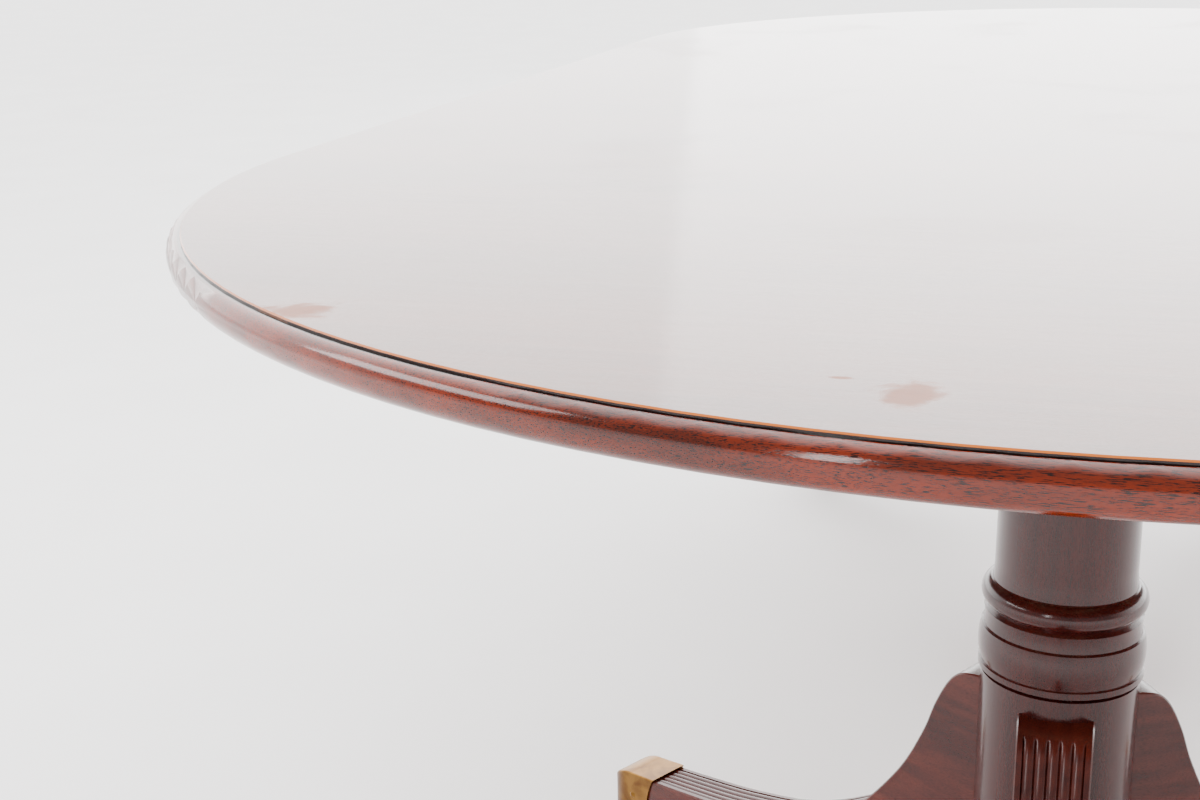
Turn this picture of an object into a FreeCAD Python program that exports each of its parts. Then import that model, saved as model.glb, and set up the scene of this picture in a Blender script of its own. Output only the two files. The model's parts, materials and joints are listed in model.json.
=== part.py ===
import FreeCAD, Part
import os

# Twin pedestal dining table with half-round ends, one loose leaf and brass castors.
# Frame: millimetres, +Z up, +X along the table, origin on the floor under the middle of the top.
# Each pedestal stands under the centre of a half-round end and carries three sabre legs.

V = FreeCAD.Vector
Z_AXIS = V(0, 0, 1)

# --- driving dimensions -------------------------------------------------------------------
TABLE_HEIGHT = 762.0
END_RADIUS = 660.0            # half-round end, and half the width of the top
PEDESTAL_SPACING = 1180.0     # between the two columns
SEAM_OFFSET = 330.0           # from a column to the joint with the leaf
TOP_THICK = 24.0
FIT_GAP = 0.1                 # clearance of glued and screwed joints
SEAM_GAP = 0.25               # the leaf stands clear of each end by this much

QUIRK_IN = 9.5                # flat top ends this far inside the rim
QUIRK_DROP = 2.2
BEAD_START = 8.3              # where the rim's round starts, in from the edge
RIM_WIDEST = 12.5             # depth at which the rim stands out most
RIM_UNDERCUT = 6.5
ARRIS = 0.8
TONGUE_DEEP, TONGUE_THICK, TONGUE_LOW = 8.0, 6.0, 15.0

BLOCK_SIZE, BLOCK_THICK, BLOCK_CORNER = 300.0, 32.0, 30.0
BEARER_WIDE, BEARER_THICK, BEARER_HALF = 50.0, 28.0, 500.0
BEARER_OFFSET, BEARER_BEVEL = 200.0, 60.0

COLUMN_TENON_R, COLUMN_TENON_LONG = 28.0, 24.0
HUB_R, HUB_BOTTOM = 62.0, 175.0
SOCKET_TOP = 344.0            # top of the dovetail sockets
TAIL_DEEP, TAIL_NECK, TAIL_WIDE = 18.0, 18.0, 26.0

LEG_ANGLES = [180.0, 60.0, -60.0]
LEG_HALF_ROOT, LEG_HALF_TOE = 29.0, 21.0
LEG_END = 480.0

CAP_WALL = 2.0
SWIVEL_R = 466.0              # distance from the column to a castor's upright pin
PIN_R, PIN_TOP = 4.0, 74.0
RUN_GAP = 0.05
HORN_PLATE_R, HORN_PLATE_LOW, HORN_PLATE_TOP = 13.0, 38.0, 42.6
CAP_SOLE, CAP_NOSE, CAP_ROUND = 43.0, 510.0, 1.8
WHEEL_R, WHEEL_WIDE, TRAIL = 17.0, 13.0, 12.0
CHEEK_THICK, CHEEK_WIDE, AXLE_R = 3.0, 14.0, 2.5

STRAP_THICK, STRAP_REACH, STRAP_WIDE = 3.0, 92.0, 24.0
SCREW_R, SCREW_HEAD_R, SCREW_HEAD_LONG = 2.2, 4.2, 2.6

CLIP_LONG, CLIP_WIDE, CLIP_THICK = 86.0, 30.0, 4.0
CLIP_LAP, GUIDE_LONG, KEEPER_LONG, BRASS_SETBACK = 24.0, 40.0, 20.0, 4.0
PEG_R, PEG_LONG, PEG_OFFSETS = 5.0, 36.0, (-430.0, -150.0, 150.0, 430.0)

TOP_UNDER = TABLE_HEIGHT - TOP_THICK
COLUMN_X = PEDESTAL_SPACING / 2
SEAM_X = COLUMN_X - SEAM_OFFSET
LEAF_HALF = SEAM_X - SEAM_GAP
ENDS = {"near": -1, "far": 1}


# --- small helpers ------------------------------------------------------------------------
def save(name, shape):
    """Write one sub-part."""
    shape.exportStep("parts/%s.step" % name)


def face_of(edges):
    """A face from edges in order."""
    return Part.Face(Part.Wire(Part.__sortEdges__(edges)))


def polygon(points):
    """A closed straight-sided face through the points."""
    return Part.Face(Part.makePolygon(points + [points[0]]))


def arc(start, middle, end):
    """An arc edge through three points."""
    return Part.Arc(start, middle, end).toShape()


def line(start, end):
    """A straight edge."""
    return Part.makeLine(start, end)


def centred_box(x_size, y_size, z_low, z_high, centre=(0, 0)):
    """A box centred on a point in plan."""
    corner = V(centre[0] - x_size / 2, centre[1] - y_size / 2, z_low)
    return Part.makeBox(x_size, y_size, z_high - z_low, corner)


def turn(shape, degrees):
    """The shape turned about the column's own axis, which is the Z axis while it is built."""
    copy = shape.copy()
    copy.rotate(V(0, 0, 0), Z_AXIS, degrees)
    return copy


def place(shape, side):
    """The shape moved from the Z axis to a column."""
    copy = shape.copy()
    copy.translate(V(side * COLUMN_X, 0, 0))
    return copy


def group(solids):
    """Several separate solids in one node."""
    return Part.makeCompound(solids)


def screw(tip_height, head_height, x, y, up=True, gap=0.0):
    """A countersunk screw along Z; up is True when its tip points up."""
    radius = SCREW_R + gap
    head = SCREW_HEAD_R + gap
    long = abs(tip_height - head_height)
    direction = Z_AXIS if up else V(0, 0, -1)
    base = V(x, y, head_height)
    cone = Part.makeCone(head, radius, SCREW_HEAD_LONG, base, direction)
    shank = Part.makeCylinder(radius, long, base, direction)
    return cone.fuse(shank)


# --- the top ------------------------------------------------------------------------------
def end_plan(inset, z_low, z_high, seam_extra=0.0):
    """The half-round end in plan, drawn for the near end, pulled in by an inset."""
    radius = END_RADIUS - inset
    seam = -SEAM_X + seam_extra
    centre = -COLUMN_X
    edges = [
        line(V(seam, -radius, z_low), V(centre, -radius, z_low)),
        arc(V(centre, -radius, z_low), V(centre - radius, 0, z_low), V(centre, radius, z_low)),
        line(V(centre, radius, z_low), V(seam, radius, z_low)),
        line(V(seam, radius, z_low), V(seam, -radius, z_low)),
    ]
    return face_of(edges).extrude(V(0, 0, z_high - z_low))


def rim_section(origin, outward):
    """The thumbnail rim with its tongue, in the plane of Z and an outward direction."""
    def at(inset, depth):
        return origin + outward * -inset + V(0, 0, TABLE_HEIGHT - depth)
    start = at(BEAD_START, QUIRK_DROP)
    widest = at(0, RIM_WIDEST)
    foot = at(RIM_UNDERCUT, TOP_THICK)
    inner = QUIRK_IN + TONGUE_DEEP
    tongue_high = TONGUE_LOW - TONGUE_THICK
    corners = [foot, at(QUIRK_IN, TOP_THICK), at(QUIRK_IN, TONGUE_LOW), at(inner, TONGUE_LOW),
               at(inner, tongue_high), at(QUIRK_IN, tongue_high), at(QUIRK_IN, QUIRK_DROP), start]
    edges = [arc(start, at(2.0, 5.4), widest), arc(widest, at(1.5, 19.0), foot)]
    edges += [line(a, b) for a, b in zip(corners, corners[1:])]
    return Part.Face(Part.Wire(edges))


def end_lipping():
    """The solid rim of one half-round end: two straight runs and a half turn."""
    seam = V(-SEAM_X, 0, 0)
    centre = V(-COLUMN_X, 0, 0)
    sides = []
    for hand in (-1, 1):
        outward = V(0, hand, 0)
        face = rim_section(seam + outward * END_RADIUS, outward)
        sides.append(face.extrude(centre - seam))
    section = rim_section(centre + V(0, -END_RADIUS, 0), V(0, -1, 0))
    round_end = section.revolve(centre, Z_AXIS, -180)
    return sides[0].fuse([sides[1], round_end]).removeSplitter()


def panel_with_groove(outline, grooved):
    """A board with its arris eased and the groove for the rim's tongue."""
    board = outline.cut(grooved)
    edges = [e for e in board.Edges if is_top_rim_edge(e)]
    return board.makeChamfer(ARRIS, edges)


def is_top_rim_edge(edge):
    """True for a top edge that follows the rim and not the seam."""
    box = edge.BoundBox
    on_top = box.ZMin > TABLE_HEIGHT - 0.01
    along_seam = box.XLength < 0.01
    return on_top and not along_seam


def end_panel():
    """The flat board of one half-round end."""
    board = end_plan(QUIRK_IN, TOP_UNDER, TABLE_HEIGHT)
    low = TABLE_HEIGHT - TONGUE_LOW - FIT_GAP
    high = low + TONGUE_THICK + 2 * FIT_GAP
    outer = end_plan(0, low, high, seam_extra=1.0)
    core = end_plan(QUIRK_IN + TONGUE_DEEP + FIT_GAP, low, high, seam_extra=2.0)
    return panel_with_groove(board, outer.cut(core))


def leaf_panel():
    """The loose leaf's board."""
    wide = 2 * (END_RADIUS - QUIRK_IN)
    board = centred_box(2 * LEAF_HALF, wide, TOP_UNDER, TABLE_HEIGHT)
    low = TABLE_HEIGHT - TONGUE_LOW - FIT_GAP
    high = low + TONGUE_THICK + 2 * FIT_GAP
    core_wide = wide - 2 * (TONGUE_DEEP + FIT_GAP)
    slab = centred_box(2 * SEAM_X + 2, wide + 2, low, high)
    groove = slab.cut(centred_box(2 * SEAM_X + 4, core_wide, low - 1, high + 1))
    return panel_with_groove(board, groove)


def leaf_lippings():
    """The two straight rims of the leaf."""
    pieces = []
    for hand in (-1, 1):
        outward = V(0, hand, 0)
        face = rim_section(V(-LEAF_HALF, 0, 0) + outward * END_RADIUS, outward)
        pieces.append(face.extrude(V(2 * LEAF_HALF, 0, 0)))
    return group(pieces)


def mirrored(shape):
    """The near end's shape as it is at the far end."""
    return shape.mirror(V(0, 0, 0), V(1, 0, 0))


def pegs(gap=0.0):
    """Dowel pegs that line the boards up across both seams."""
    solids = []
    for seam in (-SEAM_X, SEAM_X):
        for y in PEG_OFFSETS:
            start = V(seam - PEG_LONG / 2 - gap, y, TABLE_HEIGHT - TOP_THICK / 2)
            solids.append(Part.makeCylinder(PEG_R + gap, PEG_LONG + 2 * gap, start, V(1, 0, 0)))
    return solids


# --- under the top ------------------------------------------------------------------------
def bearer(offset):
    """A cross batten with its ends bevelled up."""
    low, high = TOP_UNDER - BEARER_THICK, TOP_UNDER
    half = BEARER_HALF
    outline = [V(0, -half, high), V(0, half, high), V(0, half - 4, high - 8),
               V(0, half - BEARER_BEVEL, low), V(0, -half + BEARER_BEVEL, low), V(0, -half + 4, high - 8)]
    bar = polygon(outline).extrude(V(BEARER_WIDE, 0, 0))
    bar.translate(V(offset - BEARER_WIDE / 2, 0, 0))
    for y in bearer_screw_places():
        bar = bar.cut(screw(TOP_UNDER + 14, low, offset, y, gap=FIT_GAP))
    return bar


def bearer_screw_places():
    """Distances of a batten's screws from the middle."""
    return (-380.0, -190.0, 190.0, 380.0)


def bearer_screws():
    """The screws of the two battens of one end."""
    low = TOP_UNDER - BEARER_THICK
    places = [(x, y) for x in (-BEARER_OFFSET, BEARER_OFFSET) for y in bearer_screw_places()]
    return [screw(TOP_UNDER + 14, low, x, y) for x, y in places]


def block_screw_places():
    """Plan places of the four screws through the pillar block."""
    reach = BLOCK_SIZE / 2 - 30
    return [(sx * reach, sy * reach) for sx in (-1, 1) for sy in (-1, 1)]


def pillar_block():
    """The square block that joins the column to the top."""
    block = centred_box(BLOCK_SIZE, BLOCK_SIZE, TOP_UNDER - BLOCK_THICK, TOP_UNDER)
    upright = [e for e in block.Edges if e.BoundBox.ZLength > BLOCK_THICK - 0.01]
    block = block.makeFillet(BLOCK_CORNER, upright)
    lower = [e for e in block.Edges if e.BoundBox.ZMax < TOP_UNDER - BLOCK_THICK + 0.01]
    block = block.makeChamfer(6.0, lower)
    hole = Part.makeCylinder(COLUMN_TENON_R + FIT_GAP, BLOCK_THICK + 2,
                             V(0, 0, TOP_UNDER - BLOCK_THICK - 1))
    block = block.cut(hole)
    for x, y in block_screw_places():
        block = block.cut(screw(TOP_UNDER + 14, TOP_UNDER - BLOCK_THICK, x, y, gap=FIT_GAP))
    return block


def block_screws():
    """The four screws of one pillar block."""
    return [screw(TOP_UNDER + 14, TOP_UNDER - BLOCK_THICK, x, y) for x, y in block_screw_places()]


# --- the column ---------------------------------------------------------------------------
def column_profile():
    """Half section of the turned column, as edges from the foot up to the tenon."""
    def p(radius, depth):
        return V(radius, 0, TABLE_HEIGHT - depth)
    shoulder = TOP_THICK + BLOCK_THICK
    foot = TABLE_HEIGHT - HUB_BOTTOM
    tenon_end = shoulder - COLUMN_TENON_LONG
    edges = [
        line(p(0, foot), p(HUB_R, foot)),
        line(p(HUB_R, foot), p(HUB_R, 397.0)),
        line(p(HUB_R, 397.0), p(59.0, 396.0)),
        line(p(59.0, 396.0), p(59.0, 394.0)),
        line(p(59.0, 394.0), p(64.2, 393.0)),
        line(p(64.2, 393.0), p(64.2, 388.0)),
        line(p(64.2, 388.0), p(63.0, 387.0)),
        arc(p(63.0, 387.0), p(64.8, 373.0), p(63.0, 358.0)),
        line(p(63.0, 358.0), p(61.2, 356.5)),
        arc(p(61.2, 356.5), p(60.6, 350.0), p(61.2, 343.5)),
        line(p(61.2, 343.5), p(58.0, 340.0)),
        arc(p(58.0, 340.0), p(64.0, 329.0), p(57.0, 319.5)),
        line(p(57.0, 319.5), p(55.8, 318.5)),
        arc(p(55.8, 318.5), p(54.9, 312.0), p(54.6, 300.0)),
        line(p(54.6, 300.0), p(53.6, 90.0)),
        arc(p(53.6, 90.0), p(55.0, 77.0), p(60.0, 66.0)),
        line(p(60.0, 66.0), p(60.0, shoulder)),
        line(p(60.0, shoulder), p(COLUMN_TENON_R, shoulder)),
        line(p(COLUMN_TENON_R, shoulder), p(COLUMN_TENON_R, tenon_end)),
        line(p(COLUMN_TENON_R, tenon_end), p(0, tenon_end)),
        line(p(0, tenon_end), p(0, foot)),
    ]
    return edges


def dovetail(gap=0.0):
    """A leg's sliding dovetail, pointing along +X, from the hub's skin inwards."""
    neck, wide = TAIL_NECK / 2 + gap, TAIL_WIDE / 2 + gap
    outer, inner = HUB_R + 4.0, HUB_R - TAIL_DEEP - gap
    low = HUB_BOTTOM - (1.0 if gap else 0.0)
    outline = [V(outer, -neck, low), V(outer, neck, low), V(HUB_R - 4.0, neck, low),
               V(inner, wide, low), V(inner, -wide, low), V(HUB_R - 4.0, -neck, low)]
    return polygon(outline).extrude(V(0, 0, SOCKET_TOP + gap - low))


def column():
    """The turned column with its three dovetail sockets."""
    body = Part.Face(Part.Wire(column_profile())).revolve(V(0, 0, 0), Z_AXIS, 360)
    for angle in LEG_ANGLES:
        body = body.cut(turn(dovetail(FIT_GAP), angle))
    return body.cut(screw(HUB_BOTTOM + 22, HUB_BOTTOM - STRAP_THICK, 0, 0, gap=FIT_GAP))


# --- a leg, drawn along +X ----------------------------------------------------------------
def leg_top_curve():
    """The upper line of a leg: a short shoulder, then a long hollow sweep."""
    points = [(50.0, 350.0), (72.0, 346.0), (85.0, 335.0), (98.0, 310.0), (110.0, 278.0),
              (133.0, 234.0), (172.0, 184.0), (203.0, 157.0), (265.0, 126.0), (333.0, 109.0),
              (401.0, 98.5), (LEG_END, 89.0)]
    curve = Part.BSplineCurve()
    curve.interpolate([V(x, 0, z) for x, z in points])
    return curve.toShape()


def leg_under_curve():
    """The plain under line of a leg, from the strap's seat to the toe."""
    points = [(100.0, HUB_BOTTOM), (122.0, 160.0), (158.0, 126.0), (210.0, 93.0), (272.0, 73.0),
              (340.0, 60.0), (410.0, 50.0), (LEG_END, CAP_SOLE + CAP_WALL)]
    curve = Part.BSplineCurve()
    curve.interpolate([V(x, 0, z) for x, z in points])
    return curve.toShape()


def leg_half_width(radius):
    """Half the leg's width, which tapers from the root to the toe."""
    share = (radius - HUB_R) / (LEG_END - HUB_R)
    return LEG_HALF_ROOT + (LEG_HALF_TOE - LEG_HALF_ROOT) * share


def leg_plan(z_low, z_high):
    """The leg's tapering shape in plan, as a tall prism."""
    root, toe = 50.0, LEG_END
    a, b = leg_half_width(root), leg_half_width(toe)
    outline = [V(root, -a, z_low), V(toe, -b, z_low), V(toe, b, z_low), V(root, a, z_low)]
    return polygon(outline).extrude(V(0, 0, z_high - z_low))


def leg():
    """A sabre leg: flat tapering sides, a hollow upper line, a dovetail at the root."""
    top, under = leg_top_curve(), leg_under_curve()
    a, b = top.valueAt(top.FirstParameter), top.valueAt(top.LastParameter)
    c, d = under.valueAt(under.LastParameter), under.valueAt(under.FirstParameter)
    corner = V(a.x, 0, d.z)
    outline = Part.Wire([top, line(b, c), under, line(d, corner), line(corner, a)])
    half = LEG_HALF_ROOT + 2
    slab = Part.Face(outline).extrude(V(0, 2 * half, 0))
    slab.translate(V(0, -half, 0))
    body = slab.common(leg_plan(0, TABLE_HEIGHT))
    skin = Part.makeCylinder(HUB_R + FIT_GAP, TABLE_HEIGHT)
    body = body.cut(skin).fuse(dovetail().common(skin_room()))
    bore = Part.makeCylinder(PIN_R + RUN_GAP, PIN_TOP + 1, V(SWIVEL_R, 0, 0))
    body = body.cut(bore)
    body = body.cut(screw(HUB_BOTTOM + 22, HUB_BOTTOM - STRAP_THICK, STRAP_REACH - 12, 0, gap=FIT_GAP))
    return largest(body)


def skin_room():
    """The space that a leg's dovetail may fill: the hub and the first millimetres outside it."""
    return Part.makeCylinder(HUB_R + 3.0, TABLE_HEIGHT)


def largest(shape):
    """The biggest solid of a shape."""
    return max(shape.Solids, key=lambda s: s.Volume)


# --- toe cap and castor, drawn for a leg along +X -----------------------------------------
def toe_cap(leg_shape):
    """A brass slipper over the toe, with the bearing for the castor's pin."""
    def p(x, z):
        return V(x, 0, z)
    back_top, back_low = p(440.0, 96.0), p(450.0, CAP_SOLE)
    crown, tip, sole = p(472.0, 92.6), p(CAP_NOSE, 60.0), p(488.0, CAP_SOLE)
    edges = [line(back_top, crown), arc(crown, p(499.0, 81.0), tip), arc(tip, p(505.0, 49.0), sole),
             line(sole, back_low), arc(back_low, p(449.0, 71.0), back_top)]
    side = face_of(edges).extrude(V(0, 60, 0))
    side.translate(V(0, -30, 0))
    outer = side.common(cap_plan())
    crest = [e for e in outer.Edges if is_cap_crest(e)]
    cap = outer.makeFillet(CAP_ROUND, crest).cut(toe_room(leg_shape))
    bore = Part.makeCylinder(PIN_R + RUN_GAP, PIN_TOP + 1, V(SWIVEL_R, 0, 0))
    return largest(cap.cut(bore))


def is_cap_crest(edge):
    """True for the cap's upper side edges, from its back to the start of the nose."""
    box = edge.BoundBox
    clear_of_middle = abs(box.Center.y) > LEG_HALF_TOE / 2
    return clear_of_middle and box.ZMin > 2 * CAP_SOLE and box.XLength > 1


def cap_plan():
    """The cap in plan: the leg's sides plus a wall, with a rounded nose."""
    back = 426.0
    a = leg_half_width(back) + CAP_WALL
    b = leg_half_width(LEG_END) + CAP_WALL
    nose = V(CAP_NOSE + 0.5, 0, 0)
    edges = [line(V(back, a, 0), V(back, -a, 0)), line(V(back, -a, 0), V(LEG_END, -b, 0)),
             arc(V(LEG_END, -b, 0), V(502.0, -14.5, 0), nose),
             arc(nose, V(502.0, 14.5, 0), V(LEG_END, b, 0)), line(V(LEG_END, b, 0), V(back, a, 0))]
    return face_of(edges).extrude(V(0, 0, 200))


def toe_room(leg_shape):
    """The part of the leg that fills the cap."""
    return leg_shape.common(centred_box(200, 100, 0, 120, centre=(480, 0)))


def swivel_horn():
    """The castor's swivelling horn: an upright pin, a plate and two cheeks."""
    pin = Part.makeCylinder(PIN_R, PIN_TOP - HORN_PLATE_LOW, V(SWIVEL_R, 0, HORN_PLATE_LOW))
    plate = Part.makeCylinder(HORN_PLATE_R, HORN_PLATE_TOP - HORN_PLATE_LOW, V(SWIVEL_R, 0, HORN_PLATE_LOW))
    body = pin.fuse(plate)
    axle_x = SWIVEL_R - TRAIL
    inner = WHEEL_WIDE / 2 + 0.6
    for hand in (-1, 1):
        y = inner if hand > 0 else -inner - CHEEK_THICK
        body = body.fuse(cheek(axle_x, y))
    body = body.cut(Part.makeCylinder(AXLE_R, 60, V(axle_x, -30, WHEEL_R), V(0, 1, 0)))
    return body.removeSplitter()


def cheek(axle_x, y):
    """One cheek of the horn, rounded about the axle."""
    half = CHEEK_WIDE / 2
    top = HORN_PLATE_LOW + 1.2
    outline = [
        arc(V(axle_x - half, y, WHEEL_R), V(axle_x, y, WHEEL_R - half), V(axle_x + half, y, WHEEL_R)),
        line(V(axle_x + half, y, WHEEL_R), V(SWIVEL_R + 7.5, y, top)),
        line(V(SWIVEL_R + 7.5, y, top), V(SWIVEL_R - 8.5, y, top)),
        line(V(SWIVEL_R - 8.5, y, top), V(axle_x - half, y, WHEEL_R)),
    ]
    return face_of(outline).extrude(V(0, CHEEK_THICK, 0))


def axle():
    """The castor's axle, riveted over outside both cheeks."""
    axle_x = SWIVEL_R - TRAIL
    reach = WHEEL_WIDE / 2 + 0.6 + CHEEK_THICK
    rod = Part.makeCylinder(AXLE_R, 2 * reach, V(axle_x, -reach, WHEEL_R), V(0, 1, 0))
    heads = []
    for hand in (-1, 1):
        start = V(axle_x, hand * reach, WHEEL_R)
        heads.append(Part.makeCone(AXLE_R + 1.4, AXLE_R - 0.6, 1.4, start, V(0, hand, 0)))
    return rod.fuse(heads)


def wheel():
    """A turned brass wheel with a shallow dish in each face."""
    axle_x = SWIVEL_R - TRAIL
    half = WHEEL_WIDE / 2
    def p(radius, across):
        return V(axle_x + radius, across, WHEEL_R)
    bore = AXLE_R + RUN_GAP
    rim_in = WHEEL_R - 3.5
    corners = [p(bore, -half), p(5.0, -half), p(5.8, -half + 1.2), p(rim_in, -half + 1.2),
               p(rim_in + 0.8, -half + 0.3), p(WHEEL_R - 1.2, -half + 0.3)]
    low, high = corners[-1], p(WHEEL_R - 1.2, half - 0.3)
    edges = [line(a, b) for a, b in zip(corners, corners[1:])]
    edges.append(arc(low, p(WHEEL_R, 0), high))
    mirrored_corners = [V(c.x, -c.y, c.z) for c in corners]
    edges += [line(a, b) for a, b in zip(mirrored_corners, mirrored_corners[1:])]
    edges.append(line(mirrored_corners[0], corners[0]))
    return face_of(edges).revolve(V(axle_x, 0, WHEEL_R), V(0, 1, 0), 360)


# --- the strap that ties the legs to the column -------------------------------------------
def strap():
    """A three-armed iron plate under the hub."""
    low = HUB_BOTTOM - STRAP_THICK
    plate = Part.makeCylinder(34.0, STRAP_THICK, V(0, 0, low))
    for angle in LEG_ANGLES:
        arm = Part.makeBox(STRAP_REACH, STRAP_WIDE, STRAP_THICK, V(0, -STRAP_WIDE / 2, low))
        plate = plate.fuse(turn(arm, angle))
    for tool in strap_screws(FIT_GAP):
        plate = plate.cut(tool)
    return plate.removeSplitter()


def strap_screws(gap=0.0):
    """One screw up into each leg and one into the column."""
    low = HUB_BOTTOM - STRAP_THICK
    solids = [screw(HUB_BOTTOM + 22, low, 0, 0, gap=gap)]
    outer = screw(HUB_BOTTOM + 22, low, STRAP_REACH - 12, 0, gap=gap)
    return solids + [turn(outer, angle) for angle in LEG_ANGLES]


# --- sliding leaf clips -------------------------------------------------------------------
def clip_loop(near_edge, long, side, away):
    """A brass loop under a board; near_edge is its face next to the seam, away is +1 or -1."""
    wide, deep = CLIP_WIDE + 12, CLIP_THICK + 5
    centre = (side * (near_edge + away * long / 2), 0)
    body = centred_box(long, wide, TOP_UNDER - deep, TOP_UNDER, centre=centre)
    slot = centred_box(long + 2, CLIP_WIDE + 0.8, TOP_UNDER - CLIP_THICK - 1.2, TOP_UNDER - 0.4,
                       centre=centre)
    return body.cut(slot)


def clip_guide(side):
    """The loop under an end board that a leaf clip slides in."""
    return clip_loop(SEAM_X + BRASS_SETBACK, GUIDE_LONG, side, 1)


def clip_keeper(side):
    """The matching loop under the leaf."""
    return clip_loop(SEAM_X - BRASS_SETBACK, KEEPER_LONG, side, -1)


def clip(side):
    """A flat brass bolt with a finger knob, pushed home across the seam."""
    low = TOP_UNDER - CLIP_THICK - 0.8
    inner = SEAM_X - CLIP_LAP
    centre = (side * (inner + CLIP_LONG / 2), 0)
    body = centred_box(CLIP_LONG, CLIP_WIDE, low, low + CLIP_THICK, centre=centre)
    knob = Part.makeCylinder(7.0, 14.0, V(side * (inner + CLIP_LONG - 8.0), 0, low - 14.0))
    knob = knob.makeFillet(3.0, [e for e in knob.Edges if e.BoundBox.ZMax < low - 13.9])
    return body.fuse(knob).removeSplitter()


# --- build --------------------------------------------------------------------------------
def build_top():
    """The boards, rims, pegs, battens and clips."""
    peg_room = pegs(FIT_GAP)
    near_panel, near_rim = end_panel(), end_lipping()
    panels = {"near": near_panel, "far": mirrored(near_panel)}
    rims = {"near": near_rim, "far": mirrored(near_rim)}
    for end, side in ENDS.items():
        room = [place(s, side) for s in bearer_screws() + block_screws()]
        save("end_panel_" + end, largest(panels[end].cut(peg_room + room)))
        save("end_rim_" + end, rims[end])
        save("bearer_inner_" + end, place(bearer(-side * BEARER_OFFSET), side))
        save("bearer_outer_" + end, place(bearer(side * BEARER_OFFSET), side))
        save("bearer_screws_" + end, place(group(bearer_screws()), side))
        save("clip_guide_" + end, clip_guide(side))
        save("leaf_clip_" + end, clip(side))
    save("leaf_panel", leaf_panel().cut(peg_room))
    save("leaf_rims", leaf_lippings())
    save("leaf_pegs", group(pegs()))
    save("clip_keepers", group([clip_keeper(side) for side in ENDS.values()]))


def build_pedestal(end, side, leg_shape, cap_shape):
    """One pedestal with its legs, caps and castors."""
    save("pillar_block_" + end, place(pillar_block(), side))
    save("block_screws_" + end, place(group(block_screws()), side))
    save("column_" + end, place(column(), side))
    save("strap_" + end, place(strap(), side))
    save("strap_screws_" + end, place(group(strap_screws()), side))
    pieces = {"leg": leg_shape, "toe_cap": cap_shape, "castor_horn": swivel_horn(),
              "castor_axle": axle(), "castor_wheel": wheel()}
    for number, angle in enumerate(LEG_ANGLES, 1):
        for name, shape in pieces.items():
            save("%s_%s_%d" % (name, end, number), place(turn(shape, angle), side))


def main():
    """Write every sub-part."""
    os.makedirs("parts", exist_ok=True)
    build_top()
    leg_shape = leg()
    cap_shape = toe_cap(leg_shape)
    for end, side in ENDS.items():
        build_pedestal(end, side, leg_shape, cap_shape)


main()
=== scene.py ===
import json
import logging
import math
from dataclasses import dataclass, field
from enum import Enum

import bmesh
import bpy
from mathutils import Matrix, Vector
from mathutils.kdtree import KDTree


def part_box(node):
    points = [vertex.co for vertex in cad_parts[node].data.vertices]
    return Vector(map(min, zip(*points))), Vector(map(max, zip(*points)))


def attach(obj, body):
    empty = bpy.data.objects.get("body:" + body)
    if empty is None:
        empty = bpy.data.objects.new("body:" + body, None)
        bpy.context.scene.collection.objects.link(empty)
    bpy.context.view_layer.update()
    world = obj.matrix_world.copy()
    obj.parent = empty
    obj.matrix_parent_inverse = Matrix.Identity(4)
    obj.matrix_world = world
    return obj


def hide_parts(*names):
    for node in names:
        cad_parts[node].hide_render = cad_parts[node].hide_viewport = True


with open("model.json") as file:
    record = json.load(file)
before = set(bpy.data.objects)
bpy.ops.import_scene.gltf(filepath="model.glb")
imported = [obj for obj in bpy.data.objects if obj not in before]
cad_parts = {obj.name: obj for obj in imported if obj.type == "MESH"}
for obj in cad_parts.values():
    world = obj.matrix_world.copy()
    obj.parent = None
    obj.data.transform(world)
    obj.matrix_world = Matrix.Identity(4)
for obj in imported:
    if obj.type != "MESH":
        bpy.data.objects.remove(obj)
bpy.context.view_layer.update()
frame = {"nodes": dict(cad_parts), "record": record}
LOG = logging.getLogger("table")
ROOT = "table"
ENDS = {"near": -1.0, "far": 1.0}
LEG_ANGLES = (180.0, 60.0, -60.0)
MM = 0.001
MIX_SHARE, MIX_FIRST, MIX_SECOND, MIX_RESULT = 0, 6, 7, 2
WOOD_BUMP = (0.06, 0.0004)
METAL_BUMP = (0.12, 0.0002)
MARK_COLOUR, MARK_ROUGHNESS = 0.30, 0.35
AIM = (0, 0, 0.6)
SOFT_BOXES = (("back_box", (6.0, -1.6, 2.0), (7.8, 3.4), 150),
              ("left_box", (-1.6, 3.0, 2.2), (2.0, 1.0), 75),
              ("strip_box", (-3.0, 0.9, 1.5), (0.22, 1.1), 14))


class Grain(Enum):
    """Which way the wood's fibres run."""

    ACROSS = (26.0, 1.9, 26.0)
    UPRIGHT = (30.0, 30.0, 1.6)
    ALONG_PATH = (1.6, 30.0, 30.0)


class Socket(Enum):
    """The kinds of node group socket that are used."""

    COLOUR = "NodeSocketColor"
    VALUE = "NodeSocketFloat"
    VECTOR = "NodeSocketVector"


# --- node helpers -------------------------------------------------------------------------
def new_group(name: str, inputs: list[tuple], outputs: list[tuple]) -> tuple:
    """Start a shader node group with named sockets.

    Args:
        name: The group's name.
        inputs: Name and kind of each input socket, with its default value.
        outputs: Name and kind of each output socket.

    Returns:
        The tree, its input node and its output node.
    """
    tree = bpy.data.node_groups.new(name, "ShaderNodeTree")
    for label, kind, default in inputs:
        socket = tree.interface.new_socket(name=label, in_out="INPUT", socket_type=kind.value)
        if default is not None:
            socket.default_value = default
    for label, kind in outputs:
        tree.interface.new_socket(name=label, in_out="OUTPUT", socket_type=kind.value)
    return tree, tree.nodes.new("NodeGroupInput"), tree.nodes.new("NodeGroupOutput")


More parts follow.
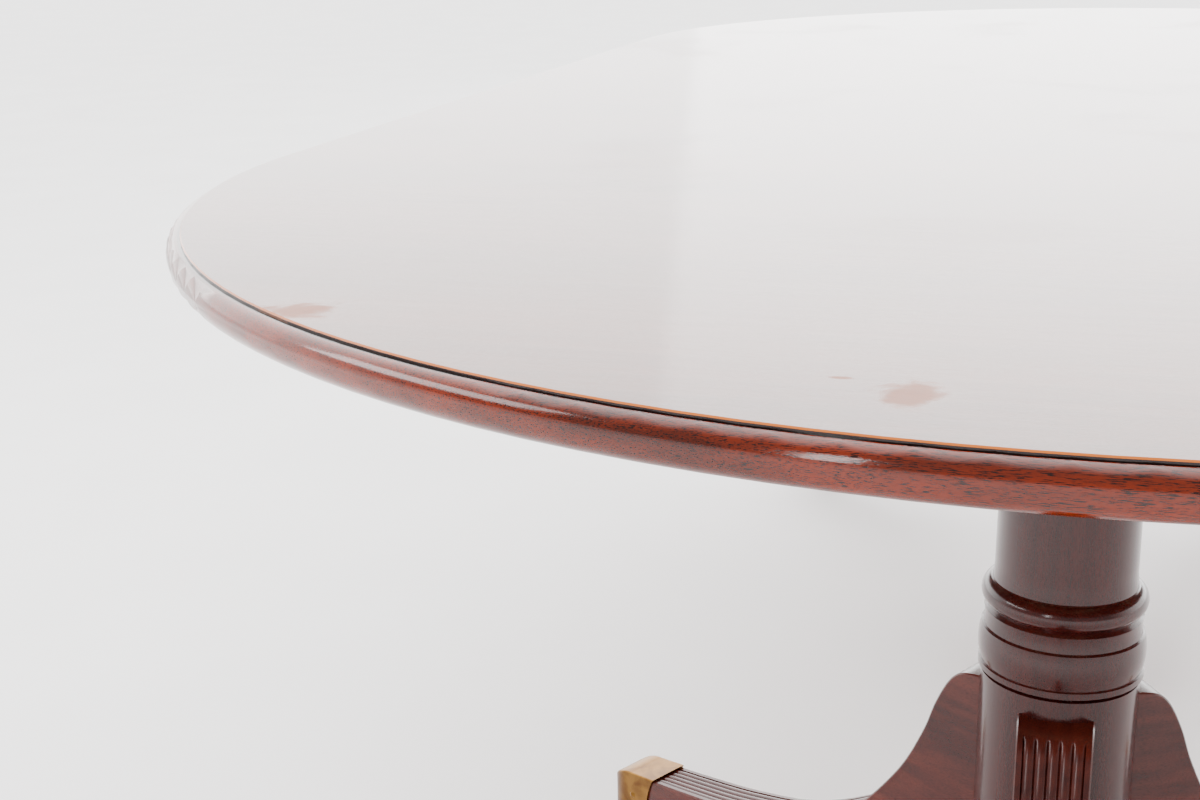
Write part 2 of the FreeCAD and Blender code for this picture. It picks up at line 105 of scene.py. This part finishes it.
def noise(tree: bpy.types.NodeTree, vector: bpy.types.NodeSocket, scale: float, detail: float = 4.0,
          twist: float = 0.0) -> bpy.types.NodeSocket:
    """Add a noise texture and return its value socket.

    Args:
        tree: The node tree.
        vector: The socket that gives the place.
        scale: The noise's scale.
        detail: Its octaves.
        twist: Its distortion.

    Returns:
        The factor output.
    """
    node = tree.nodes.new("ShaderNodeTexNoise")
    node.inputs["Scale"].default_value = scale
    node.inputs["Detail"].default_value = detail
    node.inputs["Distortion"].default_value = twist
    tree.links.new(vector, node.inputs["Vector"])
    return node.outputs["Fac"]


def ramp(tree: bpy.types.NodeTree, value: bpy.types.NodeSocket, low: float, high: float, to_low: float = 0.0,
         to_high: float = 1.0) -> bpy.types.NodeSocket:
    """Add a smooth, clamped range map and return its result socket.

    Args:
        tree: The node tree.
        value: The socket to map.
        low: Start of the input range.
        high: End of the input range.
        to_low: Result at the start.
        to_high: Result at the end.

    Returns:
        The result output.
    """
    node = tree.nodes.new("ShaderNodeMapRange")
    node.interpolation_type = "SMOOTHSTEP"
    for name, number in (("From Min", low), ("From Max", high), ("To Min", to_low), ("To Max", to_high)):
        node.inputs[name].default_value = number
    tree.links.new(value, node.inputs["Value"])
    return node.outputs["Result"]


def combine(tree: bpy.types.NodeTree, operation: str, first: bpy.types.NodeSocket,
            second: bpy.types.NodeSocket | float) -> bpy.types.NodeSocket:
    """Join two values with a maths node; the second may be a number.

    Args:
        tree: The node tree.
        operation: The maths node's operation.
        first: A value socket.
        second: A value socket or a number.

    Returns:
        The value output.
    """
    node = tree.nodes.new("ShaderNodeMath")
    node.operation = operation
    tree.links.new(first, node.inputs[0])
    if isinstance(second, (int, float)):
        node.inputs[1].default_value = second
    else:
        tree.links.new(second, node.inputs[1])
    return node.outputs[0]


def mix(tree: bpy.types.NodeTree, share: bpy.types.NodeSocket, first: bpy.types.NodeSocket,
        second: bpy.types.NodeSocket) -> bpy.types.NodeSocket:
    """Mix two colour sockets by a share.

    Args:
        tree: The node tree.
        share: How much of the second colour, from 0 to 1.
        first: A colour socket.
        second: A colour socket.

    Returns:
        The colour output.
    """
    node = tree.nodes.new("ShaderNodeMix")
    node.data_type = "RGBA"
    tree.links.new(share, node.inputs[MIX_SHARE])
    tree.links.new(first, node.inputs[MIX_FIRST])
    tree.links.new(second, node.inputs[MIX_SECOND])
    return node.outputs[MIX_RESULT]


# --- shared effects -----------------------------------------------------------------------
def build_wood_figure() -> bpy.types.NodeTree:
    """Build the fibres, broad figure and open pores that every wood shares.

    Returns:
        The node group.
    """
    tree, given, out = new_group(
        "wood_figure",
        [("Place", Socket.VECTOR, None), ("Light", Socket.COLOUR, None), ("Dark", Socket.COLOUR, None),
         ("Pore", Socket.COLOUR, None), ("Pore Amount", Socket.VALUE, 0.5)],
        [("Colour", Socket.COLOUR), ("Height", Socket.VALUE)])
    place = given.outputs["Place"]
    broad = ramp(tree, noise(tree, place, scale=0.30, detail=2.0, twist=0.08), low=0.22, high=0.80)
    fibres = ramp(tree, noise(tree, place, scale=3.2, detail=5.0, twist=0.12), low=0.28, high=0.74)
    broad_share, fibre_share = 0.6, 0.4
    figure = combine(tree, "ADD", combine(tree, "MULTIPLY", broad, broad_share),
                     combine(tree, "MULTIPLY", fibres, fibre_share))
    pores = ramp(tree, noise(tree, place, scale=95.0, detail=2.0), low=0.50, high=0.62)
    pores = combine(tree, "MULTIPLY", pores, given.outputs["Pore Amount"])
    base = mix(tree, figure, given.outputs["Light"], given.outputs["Dark"])
    tree.links.new(mix(tree, pores, base, given.outputs["Pore"]), out.inputs["Colour"])
    tree.links.new(combine(tree, "SUBTRACT", fibres, pores), out.inputs["Height"])
    return tree


def build_edge_wear() -> bpy.types.NodeTree:
    """Build a broken mask along sharp outer edges.

    Returns:
        The node group.
    """
    tree, given, out = new_group(
        "edge_wear",
        [("Place", Socket.VECTOR, None), ("Sharpness", Socket.VALUE, 0.5), ("Amount", Socket.VALUE, 0.5)],
        [("Mask", Socket.VALUE)])
    edge = ramp(tree, given.outputs["Sharpness"], low=0.52, high=0.60)
    broken = ramp(tree, noise(tree, given.outputs["Place"], scale=14.0, detail=6.0), low=0.38, high=0.62)
    mask = combine(tree, "MULTIPLY", edge, broken)
    tree.links.new(combine(tree, "MULTIPLY", mask, given.outputs["Amount"]), out.inputs["Mask"])
    return tree


def build_handling() -> bpy.types.NodeTree:
    """Build the roughness of a surface with dull smudges and fine rubbing.

    Returns:
        The node group.
    """
    tree, given, out = new_group(
        "handling",
        [("Place", Socket.VECTOR, None), ("Clean", Socket.VALUE, 0.1), ("Dull", Socket.VALUE, 0.3)],
        [("Roughness", Socket.VALUE)])
    place = given.outputs["Place"]
    patches = ramp(tree, noise(tree, place, scale=4.5, detail=5.0, twist=0.6), low=0.52, high=0.72)
    rubbed = ramp(tree, noise(tree, place, scale=60.0, detail=3.0), low=0.3, high=0.8, to_high=0.35)
    share = combine(tree, "MAXIMUM", patches, rubbed)
    spread = combine(tree, "SUBTRACT", given.outputs["Dull"], given.outputs["Clean"])
    total = combine(tree, "ADD", combine(tree, "MULTIPLY", share, spread), given.outputs["Clean"])
    tree.links.new(total, out.inputs["Roughness"])
    return tree


def build_facing() -> bpy.types.NodeTree:
    """Build a mask of the surface whose upward facing lies between two limits.

    Returns:
        The node group.
    """
    tree, given, out = new_group(
        "facing_band",
        [("Upward", Socket.VALUE, 0.0), ("Low", Socket.VALUE, 0.0), ("High", Socket.VALUE, 1.0)],
        [("Mask", Socket.VALUE)])
    above = combine(tree, "GREATER_THAN", given.outputs["Upward"], given.outputs["Low"])
    below = combine(tree, "LESS_THAN", given.outputs["Upward"], given.outputs["High"])
    tree.links.new(combine(tree, "MULTIPLY", above, below), out.inputs["Mask"])
    return tree


def build_dull_mark() -> bpy.types.NodeTree:
    """Build the ragged mask of one dull mark in the polish.

    Returns:
        The node group.
    """
    tree, given, out = new_group(
        "dull_mark",
        [("Place", Socket.VECTOR, None), ("Centre", Socket.VECTOR, None), ("Spread", Socket.VECTOR, None)],
        [("Mask", Socket.VALUE)])
    offset, scaled, length = (tree.nodes.new("ShaderNodeVectorMath") for _ in range(3))
    offset.operation, scaled.operation, length.operation = "SUBTRACT", "DIVIDE", "LENGTH"
    tree.links.new(given.outputs["Place"], offset.inputs[0])
    tree.links.new(given.outputs["Centre"], offset.inputs[1])
    tree.links.new(offset.outputs[0], scaled.inputs[0])
    tree.links.new(given.outputs["Spread"], scaled.inputs[1])
    tree.links.new(scaled.outputs[0], length.inputs[0])
    ragged_share = 1.7
    edges = noise(tree, given.outputs["Place"], scale=55.0, detail=6.0, twist=0.5)
    ragged = combine(tree, "MULTIPLY", edges, ragged_share)
    reach = combine(tree, "ADD", length.outputs["Value"], ragged)
    tree.links.new(ramp(tree, reach, low=1.15, high=1.75, to_low=1.0, to_high=0.0), out.inputs["Mask"])
    return tree


@dataclass(frozen=True)
class Effects:
    """The shared node groups."""

    figure: bpy.types.NodeTree
    wear: bpy.types.NodeTree
    handling: bpy.types.NodeTree
    facing: bpy.types.NodeTree
    mark: bpy.types.NodeTree


def place_group(tree: bpy.types.NodeTree, group: bpy.types.NodeTree,
                **values: bpy.types.NodeSocket | tuple | float) -> bpy.types.Node:
    """Place a node group in a material.

    Args:
        tree: The material's tree.
        group: The group.
        values: A socket, colour or number for each input, with _ standing for a space in its name.

    Returns:
        The group's node.
    """
    node = tree.nodes.new("ShaderNodeGroup")
    node.node_tree = group
    for name, value in values.items():
        socket = node.inputs[name.replace("_", " ")]
        if isinstance(value, bpy.types.NodeSocket):
            tree.links.new(value, socket)
        else:
            socket.default_value = value
    return node


def start_material(name: str) -> tuple:
    """Start a material.

    Args:
        name: Its name.

    Returns:
        The material, its tree, its shader and the socket that gives the place.
    """
    material = bpy.data.materials.new(name)
    material.use_nodes = True
    tree = material.node_tree
    shader = tree.nodes["Principled BSDF"]
    place = tree.nodes.new("ShaderNodeTexCoord").outputs["Object"]
    return material, tree, shader, place


def bump(tree: bpy.types.NodeTree, shader: bpy.types.Node, height: bpy.types.NodeSocket, strength: float,
         depth: float) -> None:
    """Feed a height to the shader's normal.

    Args:
        tree: The material's tree.
        shader: The shader.
        height: The height socket.
        strength: How strongly the height tells.
        depth: How deep it goes, in metres.
    """
    node = tree.nodes.new("ShaderNodeBump")
    node.inputs["Strength"].default_value = strength
    node.inputs["Distance"].default_value = depth
    tree.links.new(height, node.inputs["Height"])
    tree.links.new(node.outputs["Normal"], shader.inputs["Normal"])


@dataclass(frozen=True)
class WoodFinish:
    """A polished wood: its three colours, grain, pores and gloss, and painted shade in its quirk."""

    name: str
    light: tuple
    dark: tuple
    # the pores' colour, which is also painted as shade in the quirk
    pore_and_shade: tuple
    worn: tuple
    grain: Grain
    pores: float = 0.5
    clean: float = 0.08
    dull: float = 0.22
    wear: float = 0.0
    specular: float = 0.5
    # upward-facing limits of the faces that get painted shade in the quirk
    painted_shade_band: tuple = ()
    arris: tuple = ()
    marks: tuple = ()

    def banded(self, tree: bpy.types.NodeTree, effects: Effects, colour: bpy.types.NodeSocket,
               upward: bpy.types.NodeSocket) -> bpy.types.NodeSocket:
        """Darken the quirk with painted shade and lighten the arris, each found by how far it faces up.

        Args:
            tree: The material's tree.
            effects: The shared node groups.
            colour: The colour so far.
            upward: The normal's upward part.

        Returns:
            The new colour.
        """
        # painted shade: faces turned into the quirk take the pores' colour; the arris band is wear
        for limits, paint in ((self.painted_shade_band, self.pore_and_shade), (self.arris, self.worn)):
            if limits:
                band = place_group(tree, effects.facing, Upward=upward, Low=limits[0], High=limits[1])
                plain = tree.nodes.new("ShaderNodeRGB")
                plain.outputs[0].default_value = paint
                colour = mix(tree, band.outputs["Mask"], colour, plain.outputs[0])
        return colour

    def build(self, effects: Effects) -> bpy.types.Material:
        """Build the material.

        Args:
            effects: The shared node groups.

        Returns:
            The material.
        """
        material, tree, shader, place = start_material(self.name)
        if self.grain is Grain.ALONG_PATH:
            path = tree.nodes.new("ShaderNodeAttribute")
            path.attribute_name = "along"
            fibre_place = path.outputs["Vector"]
        else:
            fibre_place = place
        stretch = tree.nodes.new("ShaderNodeMapping")
        stretch.inputs["Scale"].default_value = self.grain.value
        tree.links.new(fibre_place, stretch.inputs["Vector"])
        figure = place_group(tree, effects.figure, Place=stretch.outputs["Vector"], Light=self.light,
                             Dark=self.dark, Pore=self.pore_and_shade, Pore_Amount=self.pores)
        geometry = tree.nodes.new("ShaderNodeNewGeometry")
        facing = tree.nodes.new("ShaderNodeSeparateXYZ")
        tree.links.new(geometry.outputs["Normal"], facing.inputs[0])
        sharp = geometry.outputs["Pointiness"]
        wear = place_group(tree, effects.wear, Place=place, Sharpness=sharp, Amount=self.wear)
        handled = place_group(tree, effects.handling, Place=place, Clean=self.clean, Dull=self.dull)
        worn = tree.nodes.new("ShaderNodeRGB")
        worn.outputs[0].default_value = self.worn
        colour = mix(tree, wear.outputs["Mask"], figure.outputs["Colour"], worn.outputs[0])
        colour = self.banded(tree, effects, colour, facing.outputs["Z"])
        roughness = handled.outputs["Roughness"]
        for centre, spread in self.marks:
            mark = place_group(tree, effects.mark, Place=place, Centre=centre, Spread=spread).outputs["Mask"]
            colour = mix(tree, combine(tree, "MULTIPLY", mark, MARK_COLOUR), colour, worn.outputs[0])
            roughness = combine(tree, "ADD", roughness, combine(tree, "MULTIPLY", mark, MARK_ROUGHNESS))
        tree.links.new(colour, shader.inputs["Base Color"])
        tree.links.new(roughness, shader.inputs["Roughness"])
        shader.inputs["Specular IOR Level"].default_value = self.specular
        bump(tree, shader, figure.outputs["Height"], *WOOD_BUMP)
        return material


@dataclass(frozen=True)
class MetalFinish:
    """A metal: bright and tarnished colours and its roughness."""

    name: str
    bright: tuple
    tarnish: tuple
    clean: float = 0.2
    dull: float = 0.45

    def build(self, effects: Effects) -> bpy.types.Material:
        """Build the material.

        Args:
            effects: The shared node groups.

        Returns:
            The material.
        """
        material, tree, shader, place = start_material(self.name)
        handled = place_group(tree, effects.handling, Place=place, Clean=self.clean, Dull=self.dull)
        cloud = ramp(tree, noise(tree, place, scale=38.0, detail=6.0, twist=0.8), low=0.42, high=0.72)
        colours = []
        for colour in (self.bright, self.tarnish):
            node = tree.nodes.new("ShaderNodeRGB")
            node.outputs[0].default_value = colour
            colours.append(node.outputs[0])
        tree.links.new(mix(tree, cloud, *colours), shader.inputs["Base Color"])
        tree.links.new(handled.outputs["Roughness"], shader.inputs["Roughness"])
        shader.inputs["Metallic"].default_value = 1.0
        bump(tree, shader, noise(tree, place, scale=420.0), *METAL_BUMP)
        return material


TOP_MARKS = (((-1.176, 0.069, 0.762), (0.026, 0.020, 1.0)), ((-1.093, 0.389, 0.762), (0.026, 0.030, 1.0)),
             ((-1.159, 0.099, 0.762), (0.004, 0.009, 1.0)))
# the top's near-upright faces, the walls of the quirk, get painted shade
TOP = WoodFinish("top_mahogany", (.17, .040, .016, 1), (.075, .016, .007, 1), (.014, .004, .003, 1),
                 (.50, .13, .02, 1), Grain.ACROSS, pores=0.6, clean=0.10, dull=0.17,
                 specular=0.30, painted_shade_band=(-0.4, 0.4), arris=(0.4, 0.95), marks=TOP_MARKS)
# the rim's upward faces, the floor of the quirk, get painted shade
RIM = WoodFinish("rim_mahogany", (.26, .022, .001, 1), (.022, .003, .001, 1), (.003, .001, .001, 1),
                 (.45, .08, .006, 1), Grain.ACROSS, pores=0.9, clean=0.08, dull=0.16, wear=0.5,
                 specular=0.36, painted_shade_band=(0.985, 1.1))
COLUMN = WoodFinish("column_mahogany", (.055, .006, .004, 1), (.012, .002, .002, 1), (.004, .001, .001, 1),
                    (.16, .04, .015, 1), Grain.UPRIGHT, pores=0.5, clean=0.12, dull=0.2,
                    specular=0.34)
LEG = WoodFinish("leg_mahogany", (.10, .016, .009, 1), (.022, .004, .004, 1), (.006, .002, .001, 1),
                 (.26, .07, .03, 1), Grain.ALONG_PATH, pores=0.5, clean=0.2, dull=0.32,
                 specular=0.3)
UNDERSIDE = WoodFinish("underside_wood", (.30, .17, .09, 1), (.17, .085, .04, 1), (.05, .025, .012, 1),
                       (.36, .22, .12, 1), Grain.ACROSS, clean=0.45, dull=0.7)
BRASS = MetalFinish("worn_brass", (.22, .11, .026, 1), (.11, .048, .013, 1), clean=0.36, dull=0.55)
IRON = MetalFinish("black_iron", (.09, .085, .08, 1), (.04, .03, .025, 1), clean=0.5, dull=0.8)
STEEL = MetalFinish("screw_steel", (.50, .49, .47, 1), (.26, .23, .20, 1), clean=0.3, dull=0.55)

FINISH_OF_SLOT = {"mahogany_top": TOP, "mahogany_rim": RIM, "mahogany_base": COLUMN,
                  "secondary_wood": UNDERSIDE, "brass": BRASS, "iron": IRON, "steel": STEEL}


# --- mesh helpers -------------------------------------------------------------------------
def smooth_curve(points: list[tuple], count: int) -> list[Vector]:
    """Sample a Catmull-Rom curve through points.

    Args:
        points: Reach and height of each point, in millimetres.
        count: How many samples.

    Returns:
        The samples, in metres.
    """
    ends = [points[0], *points, points[-1]]
    spans = len(points) - 1
    samples = []
    for index in range(count):
        whole = index / (count - 1) * spans
        span = min(int(whole), spans - 1)
        t = whole - span
        a, b, c, d = (Vector(p) for p in ends[span:span + 4])
        bend, twist = 2 * a - 5 * b + 4 * c - d, 3 * b - a - 3 * c + d
        sum_of = 2 * b + (c - a) * t + bend * t ** 2 + twist * t ** 3
        samples.append(sum_of * (MM / 2))
    return samples


def make_object(name: str, verts: list, faces: list, sharp_degrees: float = 32.0) -> bpy.types.Object:
    """Make a smooth-shaded object whose sharp edges stay sharp.

    Args:
        name: The piece's name.
        verts: Its points.
        faces: Its faces.
        sharp_degrees: The angle past which an edge is sharp.

    Returns:
        The object, linked to the scene.
    """
    mesh = bpy.data.meshes.new(name)
    mesh.from_pydata(verts, [], faces)
    work = bmesh.new()
    work.from_mesh(mesh)
    bmesh.ops.recalc_face_normals(work, faces=work.faces)
    work.to_mesh(mesh)
    work.free()
    mesh.shade_smooth()
    mesh.set_sharp_from_angle(angle=math.radians(sharp_degrees))
    piece = bpy.data.objects.new(name, mesh)
    bpy.context.scene.collection.objects.link(piece)
    return piece


def pedestal_place(side: float, degrees: float) -> Matrix:
    """Find a leg's place: turned about its column, then moved to it.

    Args:
        side: Below 0 for the near pedestal.
        degrees: The leg's angle about the column.

    Returns:
        The place.
    """
    low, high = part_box("column_near" if side < 0 else "column_far")
    centre = (low[0] + high[0]) / 2
    return Matrix.Translation((centre, 0, 0)) @ Matrix.Rotation(math.radians(degrees), 4, "Z")


# --- sub-assemblies -----------------------------------------------------------------------
@dataclass
class CarriedOver:
    """Every CAD piece that keeps its own shape and gets a finish by its slot."""

    effects: Effects
    materials: dict = field(default_factory=dict)

    def finish(self, wanted: WoodFinish | MetalFinish) -> bpy.types.Material:
        """Build a finish once.

        Args:
            wanted: The finish.

        Returns:
            Its material.
        """
        if wanted.name not in self.materials:
            self.materials[wanted.name] = wanted.build(self.effects)
        return self.materials[wanted.name]

    def dress(self) -> None:
        """Give every CAD piece the finish of its slot."""
        slots = {s["node"]: s["material_slot"] for s in frame["record"]["subparts"]}
        for name, piece in frame["nodes"].items():
            material = self.finish(FINISH_OF_SLOT[slots[name]])
            if not piece.material_slots:
                piece.data.materials.append(material)
            for held in piece.material_slots:
                held.material = material
            LOG.info("dressed %s in %s", name, material.name)


def bore_upwards(piece: bpy.types.Object, reach: float, radius: float, floor: float, roof: float) -> None:
    """Cut a blind hole up into a leg, for a castor's pin to turn in.

    Args:
        piece: The leg, in its own frame.
        reach: How far out the hole's axis is.
        radius: The hole's radius.
        floor: A height below the leg, where the cut starts.
        roof: The height of the hole's blind end.
    """
    sides = 32
    turns = [2 * math.pi * side / sides for side in range(sides)]
    verts = [(reach + radius * math.cos(t), radius * math.sin(t), z) for z in (floor, roof) for t in turns]
    faces = [(k, (k + 1) % sides, sides + (k + 1) % sides, sides + k) for k in range(sides)]
    faces += [tuple(range(sides))[::-1], tuple(range(sides, 2 * sides))]
    drill = make_object("drill", verts, faces)
    cut = piece.modifiers.new("pin_bore", "BOOLEAN")
    cut.object, cut.operation, cut.solver = drill, "DIFFERENCE", "EXACT"
    graph = bpy.context.evaluated_depsgraph_get()
    solid = bpy.data.meshes.new_from_object(piece.evaluated_get(graph), preserve_all_data_layers=True,
                                            depsgraph=graph)
    piece.modifiers.clear()
    piece.data = solid
    bpy.data.objects.remove(drill)


def store_fibres(piece: bpy.types.Object, points: list, fibres: list) -> None:
    """Store the fibre coordinates, which each vertex takes from the nearest of these points.

    Args:
        piece: The leg, in its own frame.
        points: The places the coordinates are known at.
        fibres: The coordinates there.
    """
    lookup = KDTree(len(points))
    for index, point in enumerate(points):
        lookup.insert(point, index)
    lookup.balance()
    nearest = [fibres[lookup.find(vertex.co)[1]] for vertex in piece.data.vertices]
    stored = piece.data.attributes.new("along", "FLOAT_VECTOR", "POINT")
    stored.data.foreach_set("vector", [number for fibre in nearest for number in fibre])


@dataclass
class ReededLeg:
    """A sabre leg with a reeded upper face between plain borders."""

    end: str
    number: int
    reeds: int = 5
    per_reed: int = 10
    reed_depth: float = 0.0024
    border: float = 0.0055
    rings: int = 120
    half_root: float = 0.029
    half_toe: float = 0.021
    corner: float = 0.0012
    shoulder: float = 0.077
    pin_reach: float = 0.466
    bore_radius: float = 0.0041
    bore_floor: float = 0.036
    bore_roof: float = 0.0742
    root_reach: float = 0.062
    toe_reach: float = 0.480
    run_in: float = 0.005
    lip: float = 0.0002
    fibre_run: float = 0.6
    top_line: tuple = ((50, 350), (72, 346), (85, 335), (98, 310), (110, 278), (133, 234), (172, 184),
                       (203, 157), (265, 126), (333, 109), (401, 98.5), (480, 89))
    under_line: tuple = ((50, 175), (75, 175), (100, 175), (122, 160), (158, 126), (210, 93), (272, 73),
                         (340, 60), (410, 50), (480, 45))

    def half_width(self, reach: float) -> float:
        """Half the leg's width at a distance from the column."""
        span = self.toe_reach - self.root_reach
        return self.half_root + (self.half_toe - self.half_root) * (reach - self.root_reach) / span

    def reeding(self, reach: float) -> float:
        """How deep the reeding is there, from 0 on the shoulder to 1 on the sweep."""
        start = min(max((reach - self.shoulder) / self.run_in, 0.0), 1.0)
        return start * start * (3 - 2 * start)

    def section(self, top: Vector, under: Vector, lean: Vector) -> list[tuple]:
        """One ring of points round the leg.

        Args:
            top: Reach and height on the upper line.
            under: Reach and height on the under line.
            lean: The upper line's normal, pointing up.

        Returns:
            The ring's points.
        """
        half = self.half_width(top.x)
        panel = half - self.border
        deep = self.reed_depth * self.reeding(top.x)
        eased = top - lean * self.corner
        ring = [(eased.x, -half, eased.y), (top.x, -half + self.corner, top.y),
                (top.x, -panel - self.lip, top.y)]
        for step in range(self.reeds * self.per_reed + 1):
            share = step / self.per_reed
            across = 2 * (share - math.floor(share)) - 1
            drop = deep * (1 - math.sqrt(max(1 - across * across, 0.0)))
            point = top - lean * drop
            ring.append((point.x, -panel + 2 * panel * share / self.reeds, point.y))
        ring += [(top.x, panel + self.lip, top.y), (top.x, half - self.corner, top.y),
                 (eased.x, half, eased.y)]
        low_half = self.half_width(under.x)
        ring += [(under.x, low_half, under.y + self.corner), (under.x, low_half - self.corner, under.y),
                 (under.x, -low_half + self.corner, under.y), (under.x, -low_half, under.y + self.corner)]
        return ring

    def build(self) -> bpy.types.Object:
        """Build the leg's mesh, with the fibre direction stored along it.

        Returns:
            The leg.
        """
        name = "leg_%s_%d" % (self.end, self.number)
        tops = smooth_curve(self.top_line, self.rings)
        unders = smooth_curve(self.under_line, self.rings)
        verts, fibres = [], []
        for index, (top, under) in enumerate(zip(tops, unders)):
            before, after = tops[max(index - 1, 0)], tops[min(index + 1, self.rings - 1)]
            tangent = (after - before).normalized()
            ring = self.section(top, under, Vector((-tangent.y, tangent.x)))
            verts += ring
            run = index / (self.rings - 1) * self.fibre_run + self.number
            fibres += [(run, y, z) for _, y, z in ring]
        size = len(verts) // self.rings
        faces = []
        for index in range(self.rings - 1):
            for step in range(size):
                a, b = index * size + step, index * size + (step + 1) % size
                faces.append((a, b, b + size, a + size))
        faces += [tuple(range(size)), tuple(range(len(verts) - size, len(verts)))[::-1]]
        piece = make_object("reeded_" + name, verts, faces)
        bore_upwards(piece, self.pin_reach, self.bore_radius, self.bore_floor, self.bore_roof)
        store_fibres(piece, verts, fibres)
        piece.data.transform(pedestal_place(ENDS[self.end], LEG_ANGLES[self.number - 1]))
        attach(piece, ROOT)
        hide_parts(name)
        return piece


@dataclass
class CapScrew:
    """A domed, slotted brass screw in the side of a toe cap."""

    end: str
    number: int
    hand: int
    radius: float = 0.0034
    dome: float = 0.0014
    reach: float = 0.470
    height: float = 0.068
    slot_half: float = 0.0005
    slot_depth: float = 0.0006
    slot_floor: float = -0.0004
    underside: float = -0.0008
    leg_half: float = 0.0213
    cap_wall: float = 0.002
    rings: int = 12
    spokes: int = 40

    def build(self) -> bpy.types.Object:
        """Build the screw's head and set it on the cap.

        Returns:
            The screw.
        """
        verts = [(0.0, 0.0, self.dome - self.slot_depth)]
        for ring in range(1, self.rings + 1):
            r = self.radius * ring / self.rings
            for spoke in range(self.spokes):
                turn = 2 * math.pi * spoke / self.spokes
                x, y = r * math.cos(turn), r * math.sin(turn)
                z = self.dome * (1 - (r / self.radius) ** 2)
                slotted = max(z - self.slot_depth, self.slot_floor)
                verts.append((x, y, slotted if abs(x) < self.slot_half else z))
        base = len(verts)
        verts += [(v[0], v[1], self.underside) for v in verts[-self.spokes:]]
        faces = [(0, 1 + s, 1 + (s + 1) % self.spokes) for s in range(self.spokes)]
        for ring in range(self.rings):
            start = 1 + ring * self.spokes
            for s in range(self.spokes):
                t = (s + 1) % self.spokes
                faces.append((start + s, start + self.spokes + s, start + self.spokes + t, start + t))
        faces.append(tuple(range(base, base + self.spokes)))
        hand = "a" if self.hand < 0 else "b"
        piece = make_object("cap_screw_%s_%d_%s" % (self.end, self.number, hand), verts, faces)
        half = self.leg_half + self.cap_wall
        seat = Matrix.Translation((self.reach, self.hand * half, self.height))
        tip = Matrix.Rotation(math.radians(-90 * self.hand), 4, "X")
        place = pedestal_place(ENDS[self.end], LEG_ANGLES[self.number - 1])
        piece.data.transform(place @ seat @ tip)
        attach(piece, ROOT)
        return piece


@dataclass
class Studio:
    """The floor, lights and camera."""

    lens: float = 49.6
    distance: float = 1.258
    height: float = 0.963
    heading: float = 16.81
    pitch: float = 16.87
    roll: float = -1.23
    floor_half: float = 60.0
    front_level: float = 0.8
    back_level: float = 6.5

    def camera(self) -> None:
        """Stand the camera at the end of the table."""
        low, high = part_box("column_near")
        column = (low[0] + high[0]) / 2
        turn, dip, lean = (math.radians(a) for a in (self.heading, self.pitch, self.roll))
        ahead = Vector((math.cos(dip) * math.cos(turn), math.cos(dip) * math.sin(turn), -math.sin(dip)))
        right = Vector((math.sin(turn), -math.cos(turn), 0))
        above = right.cross(ahead)
        right_leant = math.cos(lean) * right + math.sin(lean) * above
        above_leant = -math.sin(lean) * right + math.cos(lean) * above
        data = bpy.data.cameras.new("camera")
        data.lens = self.lens
        data.clip_start = 0.05
        eye = bpy.data.objects.new("camera", data)
        matrix = Matrix((right_leant, above_leant, -ahead)).transposed().to_4x4()
        matrix.translation = Vector((column - self.distance, 0, self.height))
        eye.matrix_world = matrix
        bpy.context.scene.collection.objects.link(eye)
        bpy.context.scene.camera = eye

    def light(self, name: str, place: tuple, size: tuple, power: float) -> None:
        """Hang one soft box that faces the table.

        Args:
            name: Its name.
            place: Where it hangs.
            size: Its width and height.
            power: Its power in watts.
        """
        data = bpy.data.lights.new(name, "AREA")
        data.shape = "RECTANGLE"
        data.size, data.size_y = size
        data.energy = power
        lamp = bpy.data.objects.new(name, data)
        lamp.location = place
        lamp.rotation_euler = (Vector(AIM) - Vector(place)).to_track_quat("-Z", "Y").to_euler()
        bpy.context.scene.collection.objects.link(lamp)

    def surround(self) -> None:
        """Light the room evenly: bright behind the table, dimmer at the camera's end."""
        world = bpy.data.worlds.new("studio")
        world.use_nodes = True
        tree = world.node_tree
        direction = tree.nodes.new("ShaderNodeTexCoord").outputs["Generated"]
        split = tree.nodes.new("ShaderNodeSeparateXYZ")
        tree.links.new(direction, split.inputs[0])
        background = tree.nodes["Background"]
        background.inputs[0].default_value = (1.0, 0.985, 0.98, 1)
        strength = ramp(tree, split.outputs["X"], low=-0.5, high=0.75, to_low=self.front_level,
                        to_high=self.back_level)
        tree.links.new(strength, background.inputs[1])
        bpy.context.scene.world = world

    def build(self) -> None:
        """Build the whole studio."""
        self.camera()
        half = self.floor_half
        corners = [(-half, -half, 0), (half, -half, 0), (half, half, 0), (-half, half, 0)]
        floor = make_object("floor", corners, [(0, 1, 2, 3)])
        material, tree, shader, place = start_material("pale_floor")
        shade = ramp(tree, noise(tree, place, scale=3.0), low=0.2, high=0.8, to_low=0.90, to_high=0.94)
        tree.links.new(shade, shader.inputs["Base Color"])
        shader.inputs["Roughness"].default_value = 0.7
        floor.data.materials.append(material)
        self.surround()
        for box in SOFT_BOXES:
            self.light(*box)


def main() -> None:
    """Build every sub-assembly in order."""
    logging.basicConfig(level=logging.INFO)
    effects = Effects(build_wood_figure(), build_edge_wear(), build_handling(), build_facing(),
                      build_dull_mark())
    Studio().build()
    carried = CarriedOver(effects)
    carried.dress()
    for end in ENDS:
        for number in range(1, len(LEG_ANGLES) + 1):
            leg = ReededLeg(end, number).build()
            leg.data.materials.append(carried.finish(LEG))
            LOG.info("built %s", leg.name)
            for hand in (-1, 1):
                screw = CapScrew(end, number, hand).build()
                screw.data.materials.append(carried.finish(BRASS))
                LOG.info("built %s", screw.name)


if __name__ == "__main__":
    main()
